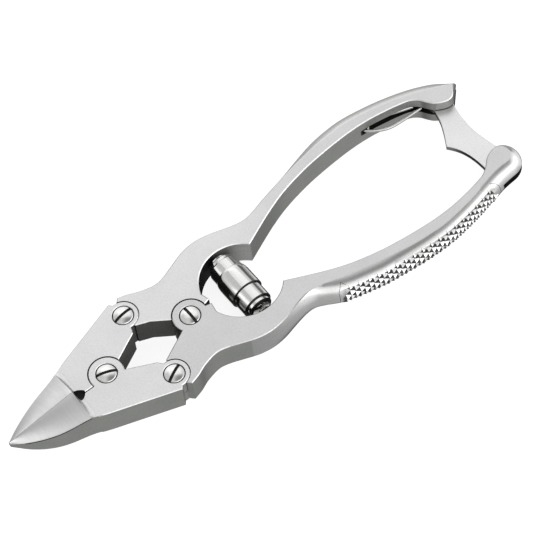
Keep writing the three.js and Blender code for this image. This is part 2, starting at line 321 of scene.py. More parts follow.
def mathNode(tree, operation, a, b=None, clamp=False):
    node = tree.nodes.new("ShaderNodeMath")
    node.operation = operation
    node.use_clamp = clamp
    for socket, value in zip(node.inputs, (a, b)):
        if value is None:
            continue
        if isinstance(value, (int, float)):
            socket.default_value = value
        else:
            tree.links.new(value, socket)
    return node.outputs[0]


def linkAll(tree, pairs):
    for source, target in pairs:
        tree.links.new(source, target)


def noiseNode(tree, vector, scale, detail=3.0, roughness=0.55):
    node = tree.nodes.new("ShaderNodeTexNoise")
    node.inputs["Detail"].default_value = detail
    node.inputs["Roughness"].default_value = roughness
    tree.links.new(vector, node.inputs["Vector"])
    if isinstance(scale, (int, float)):
        node.inputs["Scale"].default_value = scale
    else:
        tree.links.new(scale, node.inputs["Scale"])
    return node.outputs[0]


def makeGrainGroup():
    # satin finish: fine grit over slow clouds of brighter and duller metal
    tree, given, out = newGroup(
        "satinGrain",
        [("Vector", "NodeSocketVector", None), ("Grit Scale", "NodeSocketFloat", 2600.0),
         ("Cloud Scale", "NodeSocketFloat", 90.0)],
        [("Grit", "NodeSocketFloat"), ("Cloud", "NodeSocketFloat"), ("Height", "NodeSocketFloat")])
    grit = noiseNode(tree, given.outputs["Vector"], given.outputs["Grit Scale"], 2.0)
    cloud = noiseNode(tree, given.outputs["Vector"], given.outputs["Cloud Scale"], 4.0, 0.6)
    height = mathNode(tree, "ADD", grit, mathNode(tree, "MULTIPLY", cloud, 0.25))
    linkAll(tree, [(grit, out.inputs["Grit"]), (cloud, out.inputs["Cloud"]),
                   (height, out.inputs["Height"])])
    return tree


def makeScratchGroup():
    # long fine scratches along one direction, set by the stretch of the vector
    tree, given, out = newGroup(
        "fineScratches",
        [("Vector", "NodeSocketVector", None), ("Stretch", "NodeSocketVector", (4200.0, 160.0, 900.0)),
         ("Turn", "NodeSocketVector", (0.0, 0.0, 0.0))],
        [("Lines", "NodeSocketFloat"), ("Sparse", "NodeSocketFloat")])
    turn = tree.nodes.new("ShaderNodeVectorRotate")
    turn.rotation_type = "EULER_XYZ"
    stretch = tree.nodes.new("ShaderNodeVectorMath")
    stretch.operation = "MULTIPLY"
    linkAll(tree, [
        (given.outputs["Vector"], turn.inputs["Vector"]), (given.outputs["Turn"], turn.inputs["Rotation"]),
        (turn.outputs[0], stretch.inputs[0]), (given.outputs["Stretch"], stretch.inputs[1])])
    lines = noiseNode(tree, stretch.outputs[0], 1.0, 3.0, 0.7)
    wide = noiseNode(tree, stretch.outputs[0], 0.37, 1.0, 0.5)
    sparse = mathNode(tree, "MULTIPLY", mathNode(tree, "SUBTRACT", wide, 0.62), 6.0, True)
    linkAll(tree, [(lines, out.inputs["Lines"]), (sparse, out.inputs["Sparse"])])
    return tree


grainGroup = makeGrainGroup()
scratchGroup = makeScratchGroup()


def placeGroup(tree, group, vector, values):
    node = tree.nodes.new("ShaderNodeGroup")
    node.node_tree = group
    tree.links.new(vector, node.inputs["Vector"])
    for label, value in values.items():
        node.inputs[label].default_value = value
    return node


def remapNode(tree, value, low, high, fromLow=0.3, fromHigh=0.7):
    node = tree.nodes.new("ShaderNodeMapRange")
    node.inputs["From Min"].default_value = fromLow
    node.inputs["From Max"].default_value = fromHigh
    node.inputs["To Min"].default_value = low
    node.inputs["To Max"].default_value = high
    tree.links.new(value, node.inputs["Value"])
    return node.outputs["Result"]


def toneNode(tree, value, dark, light):
    node = tree.nodes.new("ShaderNodeMix")
    node.data_type = "RGBA"
    node.inputs[6].default_value = (*dark, 1)
    node.inputs[7].default_value = (*light, 1)
    tree.links.new(value, node.inputs[0])
    return node.outputs[2]


def blendNode(tree, a, b, share):
    return mathNode(tree, "ADD", mathNode(tree, "MULTIPLY", a, 1 - share),
                    mathNode(tree, "MULTIPLY", b, share))


def makeSteel(name, look):
    material = bpy.data.materials.new(name)
    material.use_nodes = True
    material.diffuse_color = (*look["light"], 1)
    tree = material.node_tree
    shader = tree.nodes["Principled BSDF"]
    coords = tree.nodes.new("ShaderNodeTexCoord").outputs["Object"]
    grain = placeGroup(tree, grainGroup, coords, {
        "Grit Scale": look["gritScale"], "Cloud Scale": look["cloudScale"]})
    lines = placeGroup(tree, scratchGroup, coords, {"Stretch": look["stretch"], "Turn": look["turn"]})
    texture = blendNode(tree, grain.outputs["Grit"], lines.outputs["Lines"], look["lineShare"])
    mixed = blendNode(tree, texture, grain.outputs["Cloud"], look["cloudShare"])
    tone = toneNode(tree, remapNode(tree, mixed, 0.0, 1.0, 0.35, 0.65), look["dark"], look["light"])
    shader.inputs["Metallic"].default_value = 1.0
    if "soot" in look:  # painted shade: the tone falls to a share of itself along X, from start to end
        start, end, share = look["soot"]
        split = tree.nodes.new("ShaderNodeSeparateXYZ")
        tree.links.new(coords, split.inputs[0])
        fade = remapNode(tree, split.outputs[0], share, 1.0,
                         origin.x + start / perMetre, origin.x + end / perMetre)
        dimmed = tree.nodes.new("ShaderNodeVectorMath")
        dimmed.operation = "SCALE"
        linkAll(tree, [(tone, dimmed.inputs[0]), (fade, dimmed.inputs["Scale"])])
        tone = dimmed.outputs[0]
        if look["grime"]:  # the painted shade also takes the metal away, so the dark end hardly reflects
            tree.links.new(fade, shader.inputs["Metallic"])
            shader.inputs["Specular IOR Level"].default_value = 0.05
    sparse = lines.outputs["Sparse"]
    rough = mathNode(tree, "ADD", remapNode(tree, mixed, look["rough"][1], look["rough"][0]),
                     mathNode(tree, "MULTIPLY", sparse, look["sparseRough"]))
    shader.inputs["IOR"].default_value = look["ior"]
    bump = tree.nodes.new("ShaderNodeBump")
    bump.inputs["Strength"].default_value = look["bump"]
    bump.inputs["Distance"].default_value = look["bumpDepth"]
    height = mathNode(tree, "ADD", texture, mathNode(tree, "MULTIPLY", sparse, -0.3))
    linkAll(tree, [
        (tone, shader.inputs["Base Color"]), (rough, shader.inputs["Roughness"]),
        (height, bump.inputs["Height"]), (bump.outputs["Normal"], shader.inputs["Normal"])])
    return material


def steelLook(**changes):
    look = {
        "dark": (0.635, 0.635, 0.64), "light": (0.72, 0.72, 0.725), "rough": (0.32, 0.40), "ior": 2.5,
        "gritScale": 2600.0, "cloudScale": 90.0, "cloudShare": 0.3,
        "stretch": (4200.0, 160.0, 900.0), "turn": (0.0, 0.0, 0.0), "lineShare": 0.15, "sparseRough": 0.04,
        "bump": 0.25, "bumpDepth": 0.00006, "grime": False,
    }
    look.update(changes)
    return look


def wallLook(**changes):
    # walls are ground across the plate's thickness
    look = {"rough": (0.28, 0.38), "lineShare": 0.4, "stretch": (160.0, 160.0, 3800.0)}
    look.update(changes)
    return steelLook(**look)


satinFlat = makeSteel("satinFlat", steelLook())
# painted shade: the upper handle's flats darken from x 40 towards the grip end
upperFlat = makeSteel("upperFlat", steelLook(soot=(78.0, 40.0, 0.9)))
# painted shade: the lower handle's flats are a darker copy of the flat steel
lowerFlat = makeSteel("lowerFlat", steelLook(dark=(0.55, 0.55, 0.557), light=(0.625, 0.625, 0.632)))
# painted shade: the swelling grip walls darken from x 50 towards the jaws
gripSteel = makeSteel("gripSteel", steelLook(
    dark=(0.58, 0.585, 0.575), light=(0.69, 0.695, 0.685), rough=(0.26, 0.34), soot=(30.0, 50.0, 0.68)))
# painted shade: the walls are the same steel as the flats, given a much darker tone
satinWallShade = makeSteel("satinWallShade", wallLook(dark=(0.32, 0.33, 0.31), light=(0.43, 0.44, 0.415)))
# painted shade: the inner walls by the linkage window turn dark and lose their shine towards the jaws
innerWall = makeSteel("innerWall", wallLook(
    dark=(0.34, 0.35, 0.33), light=(0.46, 0.47, 0.445), soot=(33.0, 47.0, 0.18), grime=True, ior=1.4))
# painted shade: the barrel recess walls turn black and lose their shine towards the jaws
recessWall = makeSteel("recessWall", wallLook(
    dark=(0.42, 0.43, 0.41), light=(0.56, 0.57, 0.545), rough=(0.25, 0.35),
    soot=(40.5, 52.0, 0.02), grime=True, ior=1.3))
satinPlate = makeSteel("satinPlate", steelLook(dark=(0.70, 0.70, 0.705), light=(0.80, 0.80, 0.805)))
brushedRoof = makeSteel("brushedRoof", steelLook(
    dark=(0.60, 0.60, 0.60), light=(0.74, 0.74, 0.735), rough=(0.28, 0.38), lineShare=0.8,
    stretch=(7000.0, 160.0, 500.0), bump=0.3, sparseRough=0.06))
screwSteel = makeSteel("screwSteel", steelLook(
    dark=(0.74, 0.74, 0.73), light=(0.84, 0.84, 0.83), rough=(0.15, 0.22), lineShare=0.3, bump=0.06))
polishedSteel = makeSteel("polishedSteel", steelLook(
    dark=(0.72, 0.72, 0.71), light=(0.82, 0.82, 0.81), rough=(0.06, 0.13), lineShare=0.5,
    stretch=(900.0, 4200.0, 900.0), bump=0.06))
# painted shade: near-black copy of the knurl steel for the facets that face the jaws
knurlPaintedShade = makeSteel("knurlPaintedShade", steelLook(
    dark=(0.035, 0.035, 0.034), light=(0.10, 0.10, 0.097), rough=(0.3, 0.45), bump=0.1))
# painted highlight: brighter copy of the knurl steel for the facets that face the thumb
knurlPaintedHighlight = makeSteel("knurlPaintedHighlight", steelLook(
    dark=(0.80, 0.80, 0.80), light=(0.90, 0.90, 0.89), rough=(0.08, 0.13), bump=0.06))
springSteel = makeSteel("springSteel", steelLook(
    dark=(0.50, 0.50, 0.49), light=(0.72, 0.72, 0.70), rough=(0.16, 0.26), lineShare=0.4, bump=0.1))
# painted shade: near-black steel put in the screw wells, slots, gaps, the relief hole, the head's edge
# facet, the sleeves' lower ends and the scribed lines
paintedShade = makeSteel("paintedShade", steelLook(
    dark=(0.025, 0.025, 0.025), light=(0.06, 0.06, 0.058), rough=(0.45, 0.6), bump=0.2))
print("materials made")


# Jaws: half-lapped plates with the cutting head on the front

jawSettings = {
    "mainBoss": 4.65, "linkBoss": 4.0, "lapGap": 0.2, "linkGap": 0.13, "layer": 0.06, "edge": 0.2,
}
headSettings = {
    "root": -7.6, "filletStart": -8.9, "back": -10.2, "tip": -30.1, "end": 0.985,
    "rootSlope": 0.41, "rootInset": 0.04, "sunk": 0.03,  # the root lies just inside the plate
    "seam": 0.03, "edge": 0.42, "edgeShare": 0.3, "roofPower": 1.3,
    "ridge": 2.1, "ridgeFall": 2.9, "shoulderFall": 1.3, "shoulderSag": 3.8, "tipRise": 6.0,
    "hollow": 0.72, "hollowWidth": 0.33,  # how far the inner side is ground out
    "fillets": 7, "stations": 32, "roofPoints": 14,
}
headWidths = [
    (-10.2, 8.05), (-11.6, 7.62), (-13, 7.28), (-15.6, 6.72), (-18.2, 6.05), (-20.8, 5.15),
    (-23.4, 4.05), (-26, 2.75), (-28, 1.55), (-29.4, 0.6), (-30.1, 0.2),
]
widthLine = [(x, w) for x, w, _ in curveThrough(headWidths, 0.5)]
screwSettings = {
    "radius": 2.62, "crown": 0.55, "domePower": 2.2, "rim": 0.16, "rimFrom": 0.985, "headDepth": 1.7,
    "shank": 1.6, "slotWidth": 0.8, "slotDepth": 1.0,
    "bore": 1.85, "well": 2.82, "wellDepth": 1.95, "wellEdge": 0.14,
}


def headHeights(u):
    # half width, and heights over the plate's top, from the back of the head to its tip
    s = headSettings
    x = s["back"] + (s["tip"] - s["back"]) * u
    width = next(b + (a - b) * (x - bx) / (ax - bx)
                 for (ax, a), (bx, b) in zip(widthLine, widthLine[1:]) if bx <= x <= ax)
    ridge = s["ridge"] - s["ridgeFall"] * u
    shoulder = -s["shoulderFall"] * u - s["shoulderSag"] * u * (1 - u)
    under = -2 * half + s["tipRise"] * u ** 3
    return width, ridge, shoulder, under


def makeHead(side):
    s = headSettings
    stations = [(s["root"], 0.0), (s["filletStart"], 0.0)]
    for k in range(1, s["fillets"] + 1):
        t = k / s["fillets"]
        rise = 1 - math.sqrt(1 - min(t, 0.999) ** 2)
        stations.append((between(s["filletStart"], s["back"], t), rise))
    for k in range(1, s["stations"] + 1):
        stations.append((between(s["back"], s["tip"], k / s["stations"] * s["end"]), 1.0))
    rings = []
    for x, rise in stations:
        u = max(0.0, (x - s["back"]) / (s["tip"] - s["back"]))
        width, ridge, shoulder, under = headHeights(u)
        if x > s["back"]:
            width = headWidths[0][1] + (x - s["back"]) * s["rootSlope"] - s["rootInset"]
        soft = min(s["edge"], width * s["edgeShare"])
        sunk = s["sunk"] * (1 - rise)
        edge = rise * shoulder - sunk
        deep = under + (ridge * rise - under) * s["hollow"]
        ring = []
        for k in range(s["roofPoints"] + 1):
            t = k / s["roofPoints"]
            y = s["seam"] + t * (width - soft * 0.3 - s["seam"])
            ring.append((y, rise * (ridge + (shoulder - ridge) * t ** s["roofPower"]) - sunk))
        ring += [(width - soft * 0.1, edge - soft * 0.08), (width, edge - soft)]
        ring += [(width, edge + (under - edge) * t) for t in (0.35, 0.7)]
        ring += [(width, under + soft), (width - soft, under)]
        ring += [(width * 0.6, under), (width * s["hollowWidth"], under)]
        for t in (0.25, 0.5, 0.75, 1.0):  # the hollow curves up to the cutting edge
            y = (1 - t) ** 2 * s["hollowWidth"] + 2 * t * (1 - t) * 0.08
            z = (1 - t) ** 2 * under + 2 * t * (1 - t) * (under + (deep - under) * 0.3) + t * t * deep
            ring.append((s["seam"] + y * width, z))
        rings.append([(x, side * y, half + z) for y, z in ring])
    size = len(rings[0])
    points = [p for ring in rings for p in ring]
    caps = [list(range(size)), [(len(rings) - 1) * size + i for i in range(size)][::-1]]
    return meshObject("head", points, caps + ringWalls(len(rings), size))


def lap(centre, radius, onTop):
    # steps that leave a round boss on one layer and clear a round seat in the other
    s = jawSettings
    gap = s["lapGap"] if radius > s["linkBoss"] else s["linkGap"]
    layer = s["layer"]
    if onTop:
        return [("DIFFERENCE", drum("seat", centre, radius + gap, -half - 1, layer)),
                ("UNION", drum("boss", centre, radius, layer, half, s["edge"], 0.0))]
    return [("DIFFERENCE", drum("seat", centre, radius + gap, -layer, half + 1)),
            ("UNION", drum("boss", centre, radius, -half, -layer, 0.0, s["edge"]))]


def well(centre):
    s = screwSettings
    floor, mouth = half - s["wellDepth"], s["well"] + s["wellEdge"] + 0.02
    profile = [(0, floor), (s["well"], floor), (s["well"], half - s["wellEdge"]),
               (mouth, half + 0.02), (mouth, half + 1), (0, half + 1)]
    return [("DIFFERENCE", turned("well", profile, (centre[0], centre[1], 0), "z", 72)),
            ("DIFFERENCE", drum("bore", centre, s["bore"], -half - 1, half))]


def bore(centre):
    return [("DIFFERENCE", drum("bore", centre, screwSettings["bore"], -half - 1, half + 1))]


jawOuter = [(11.9, 15.8), (4, 13.1), (-1, 11.4), (-6.2, 9.64), (-8.7, 8.64)]
upperJawRim = joinRuns(
    [(-8.7, 0.04), (-8.2, 0.04), (-8.2, -0.82), (-4.2, -0.82), (0, 0.1), (2.6, 0.1), (4.87, 1.37),
     (11.9, 5.1), (12.6, 6.9), (12.6, 14.9)], curveThrough(jawOuter))
lowerJawRim = joinRuns(
    [(-8.7, -0.04), (-8.2, -0.04), (-8.2, -1.0), (-4.2, -1.0), (0, -0.1), (4.06, -1.9), (11.6, -5.6),
     (12.6, -6.9), (12.6, -14.9)], curveThrough(flip(jawOuter)))
reliefHole = [(-9.75, 1.0), (-8.5, 0.75), (-7.1, -0.5), (-7.8, -1.7), (-8.9, -2.35), (-9.6, -1.9)]


def makeJaw(name, side, rim, link):
    s = jawSettings
    body = prism(name, rim, chamfer=s["edge"], levels=2)
    holeRim = joinRuns(curveThrough(reliefHole + reliefHole[:1], 0.4))
    hole = prism("hole", holeRim, -half - 1, half + 3, 0.0, 1)
    steps = [("UNION", makeHead(side)), ("DIFFERENCE", hole)]
    steps += lap(jawPivot, s["mainBoss"], side < 0)
    steps += lap(link, s["linkBoss"], True)
    steps += well(jawPivot) if side < 0 else bore(jawPivot)
    steps += well(link)
    return shade(carve(body, steps), 20)


faceSettings = {
    "flatFrom": 0.45, "innerSpan": (-8, 110),
    "headEdge": (-27, -10.3), "headEdgeTilt": (0.06, 0.6), "roofTilt": 0.15,
    "relief": (-10, -7), "reliefReach": 2.6,
    "swellFrom": 28, "handleFront": 13.7, "barrelEnd": 51, "barrelReach": 11,
}


def plateFinish(face, middle, wells):
    # flat or wall by where a face looks, and painted shade in the screws' wells
    inWell = any(math.dist(middle[:2], w) < screwSettings["well"] + 0.1 for w in wells)
    if middle.z < half - 0.1 and inWell:
        return "dark"
    if abs(face.normal.z) > faceSettings["flatFrom"]:
        return "flat"
    low, high = faceSettings["innerSpan"]
    return "inner" if middle.y * face.normal.y < 0 and low < middle.x < high else "wall"


def jawFinish(face, middle, wells):
    s, up = faceSettings, face.normal.z
    inRelief = s["relief"][0] < middle.x < s["relief"][1] and abs(middle.y) < s["reliefReach"]
    # painted shade on the walls of the relief hole
    if inRelief and abs(up) < 0.3:
        return "dark"
    if (s["headEdge"][0] < middle.x < s["headEdge"][1]
            and s["headEdgeTilt"][0] < up < s["headEdgeTilt"][1]):
        return "dark"  # painted shade on the narrow facet round the head
    if middle.x < headSettings["back"] - 0.1 and up > s["roofTilt"]:
        return "roof"
    return plateFinish(face, middle, wells)


jawPalette = {"flat": satinFlat, "wall": satinWallShade, "roof": brushedRoof, "dark": paintedShade,
              "inner": innerWall}
for name, side, rim, link in (("upper_jaw", 1, upperJawRim, upperLink),
                              ("lower_jaw", -1, lowerJawRim, lowerLink)):
    jaw = makeJaw(name.replace("_", "") + "Steel", side, rim, link)
    finish(jaw, name, [name], jawPalette,
           lambda face, middle: jawFinish(face, middle, [link, jawPivot]))
print("jaws made")


# Handles: plate, swelling grip, slotted end

handleSettings = {
    "recess": 10.7, "edge": 0.24, "slot": 1.1, "upperSlotFrom": 94, "lowerSlotFrom": 111,
    "studBore": 1.8, "studReach": 3.2, "studInset": 2.2, "pinBore": 1.3, "pinReach": 3.3,
}
outerCrease = [
    (14.8, 16.0, 0), (17.5, 15.2, 0), (20.5, 13.9, 0), (24.5, 13.0, 0), (27.5, 13.5, 0), (31, 14.8, 0),
    (35, 16.25, 0.05), (39, 16.85, 0.3), (43, 16.45, 0.7), (47.1, 15.3, 1.1), (50.5, 14.3, 1.5),
    (53.5, 13.9, 2.0), (56.5, 14.4, 2.8), (60.5, 15.6, 3.7), (66, 17.0, 4.2), (71.8, 18.3, 4.05),
    (77, 19.3, 3.6), (82, 20.1, 3.25), (87, 20.45, 3.1), (92, 20.4, 3.0), (98, 19.6, 3.0),
    (103, 18.6, 3.0), (108, 17.2, 3.15),
]
innerGrip = [
    (108.6, 14.9), (106.3, 15.6), (102.4, 16.4), (96.7, 17.2), (90.5, 17.4), (83.7, 17.0), (77, 16.25),
    (73.3, 15.6), (69.2, 14.7), (65, 13.5), (60.3, 11.7), (55.4, 9.5), (50.1, 7.0),
]
upperSwell = [(55, 0.0), (61, 0.3), (66, 0.8), (71.8, 1.5), (77, 2.2), (83, 2.8), (90, 3.2), (112, 3.3)]
noseSettings = {"centre": (115.6, 13.3), "radius": 2.75, "start": 80, "end": -112, "steps": 30,
                "swell": 3.0, "swellLoss": 2.4}


def swellAt(x):
    for (ax, a), (bx, b) in zip(upperSwell, upperSwell[1:]):
        if ax <= x <= bx:
            return a + (b - a) * (x - ax) / (bx - ax)
    return 0.0


upperEnd = [
    curveThrough([(x, y, swellAt(x)) for x, y, _ in outerCrease]
                 + [(112, 15.8, 3.2), (116, 14.2, 2.8), (118.6, 12.9, 2.1), (120.2, 12.05, 1.5)]),
    [(120.2, 12.05, 1.4), (119.6, 10.9, 0.7), (118.7, 9.6, 0.4)],
    curveThrough([(118.7, 9.6, 0.4), (117.9, 8.8, 0.3), (116.4, 8.5, 0.1), (114.6, 9.04, 0),
                  (112.7, 10.25, 0), (111.5, 11.8, 0), (110.4, 13.5, 0)] + innerGrip, 0.7),
]
noseSteps = noseSettings["steps"]
noseArc = arc(noseSettings["centre"], noseSettings["radius"], noseSettings["start"], noseSettings["end"],
              noseSteps)
noseSwell = [noseSettings["swell"] - noseSettings["swellLoss"] * (k / noseSteps) ** 2
             for k in range(noseSteps + 1)]
nose = [(p[0], p[1], swell) for p, swell in zip(noseArc, noseSwell)]
lowerEnd = [
    curveThrough(outerCrease + [(112, 16.35, 3.1), nose[0]], 0.8),
    nose,
    curveThrough([nose[-1], (113.3, 11.2, 0.3), (112.2, 11.9, 0), (110.8, 13.3, 0)] + innerGrip),
]
recessStart = math.degrees(math.atan2(7.0, 50.1 - barrelX))
recessEnd = math.degrees(math.atan2(3.3, 31.82 - barrelX))
recessArc = arc((barrelX, 0), handleSettings["recess"], recessStart, recessEnd, 44)
upperFront = [(32.5, 0.75), (30.9, 0.3), (30.2, 0.12), (26, 0.12), (21.5, 2.06), (17.2, 5.1), (13.7, 6.5),
              (13.4, 7.5), (13.4, 14.5)]
lowerFront = [(32.3, 0.6), (30.9, 0.2), (30.2, 0.12), (26, 0.12), (21.9, 2.2), (13.7, 6.5), (13.4, 7.5),
              (13.4, 14.5)]
latchMouth = [(94.5, 12), (94.5, 17.9), (95.2, 19.5), (96.6, 20.0), (98.6, 19.9), (104, 18.4),
              (111, 16.3), (115.4, 16.0), (118.6, 14.0), (126, 13.4), (126, 4), (108, 4)]
knurlSettings = {
    "start": 60.0, "end": 108.8, "pitch": 2.6, "across": 1.0, "lanes": 4, "height": 0.8, "tip": 0.05,
    "sink": 0.95, "floor": 0.66, "depth": 0.45,
    "inset": 0.6, "fade": 1.6, "reach": 2.9,  # where the wall under the bed sinks
    "line": 0.1, "lineHigh": -0.015, "lineDeep": 0.25,
    "wallRadius": 4.4, "upFrom": 0.1, "brightFrom": 0.1, "darkFrom": -0.15,  # sorts the facets
}


def knurlDip(x, z):
    # the wall sinks a little where the knurled bed lies on it
    s = knurlSettings
    toStart, toEnd = x - s["start"] - s["inset"], s["end"] - s["inset"] - x
    along = min(max(toStart / s["fade"], 0), 1) * min(max(toEnd / s["fade"], 0), 1)
    across = min(max(s["reach"] - abs(z), 0), 1)
    return s["sink"] * along * across


def makeHandle(name, side, rim, extra):
    s, h = jawSettings, handleSettings
    link = (lowerLink[0], side * upperLink[1])
    body = prism(name, rim, chamfer=h["edge"], levels=16, dip=knurlDip if side < 0 else None)
    steps = lap(handlePivot, s["mainBoss"], side < 0) + lap(link, s["linkBoss"], False)
    steps += well(handlePivot) if side < 0 else bore(handlePivot)
    steps += bore(link)
    radius, reach = h["studBore"], h["studReach"]
    profile = [(0, -reach), (radius, -reach), (radius, reach), (0, reach)]
    studBore = turned("studBore", profile, (barrelX, side * (h["recess"] + h["studInset"]), 0), "y", 40)
    steps += [("DIFFERENCE", studBore)] + extra
    return shade(carve(body, steps))


def slotTool(points):
    return prism("slot", joinRuns(points), -handleSettings["slot"], handleSettings["slot"], 0.0, 1)


upperRim = joinRuns(*upperEnd, recessArc, upperFront, [(14.8, 16.0)])
lowerRim = joinRuns(*[flip(run) for run in lowerEnd + [recessArc, lowerFront, [(14.8, 16.0)]]])
thumbSlot = [(111.6, -5), (111.6, -26), (127, -26), (127, -5)]
pinReach = handleSettings["pinReach"]
pinBore = drum("pinBore", latchPivot, handleSettings["pinBore"], -pinReach, pinReach, sides=40)
handles = {
    "upper_handle": makeHandle("upperHandleSteel", 1, upperRim,
                               [("DIFFERENCE", slotTool(latchMouth)), ("DIFFERENCE", pinBore)]),
    "lower_handle": makeHandle("lowerHandleSteel", -1, lowerRim, [("DIFFERENCE", slotTool(thumbSlot))]),
}


def handleFinish(face, middle, slotFrom):
    s, normal = faceSettings, face.normal
    inward = abs(normal.z) > 0.9 or middle.y * normal.y < 0
    if middle.x > slotFrom and inward and abs(middle.z) < handleSettings["slot"] + 0.02:
        return "dark"  # painted shade inside the slot
    if middle.x < s["handleFront"] and normal.x < -0.8:
        return "dark"  # painted shade on the front end, close behind the jaw
    if middle.x > s["swellFrom"] and middle.y * normal.y > 0 and 1e-4 < abs(normal.z) < 0.9999:
        return "swell"
    base = plateFinish(face, middle, [handlePivot])
    nearBarrel = middle.x < s["barrelEnd"] and math.dist(middle[:2], (barrelX, 0)) < s["barrelReach"]
    return "recess" if base == "inner" and nearBarrel else base


for name, flatSteel, slotFrom in (("upper_handle", upperFlat, handleSettings["upperSlotFrom"]),
                                  ("lower_handle", lowerFlat, handleSettings["lowerSlotFrom"])):
    handlePalette = {"flat": flatSteel, "wall": satinWallShade, "swell": gripSteel, "dark": paintedShade,
                     "inner": innerWall, "recess": recessWall}
    finish(handles[name], name, [name], handlePalette,
           lambda face, middle: handleFinish(face, middle, slotFrom))
print("handles made")


# Geometry Nodes helpers

def newTree(name, inputs):
    tree = bpy.data.node_groups.new(name, "GeometryNodeTree")
    tree.interface.new_socket("Geometry", in_out="INPUT", socket_type="NodeSocketGeometry")
    ids = {}
    for label, kind, value in inputs:
        socket = tree.interface.new_socket(label, in_out="INPUT", socket_type=kind)
        if value is not None:
            socket.default_value = value
        ids[label] = socket.identifier
    tree.interface.new_socket("Geometry", in_out="OUTPUT", socket_type="NodeSocketGeometry")
    return tree, ids, tree.nodes.new("NodeGroupInput"), tree.nodes.new("NodeGroupOutput")


def evaluate(name, host, tree, ids, values):
    change = host.modifiers.new("nodes", "NODES")
    change.node_group = tree
    for label, value in values.items():
        change[ids[label]] = value
    graph = bpy.context.evaluated_depsgraph_get()
    mesh = bpy.data.meshes.new_from_object(host.evaluated_get(graph))
    bpy.data.objects.remove(host)
    return newObject(name, mesh)


# Slotted pivot screws

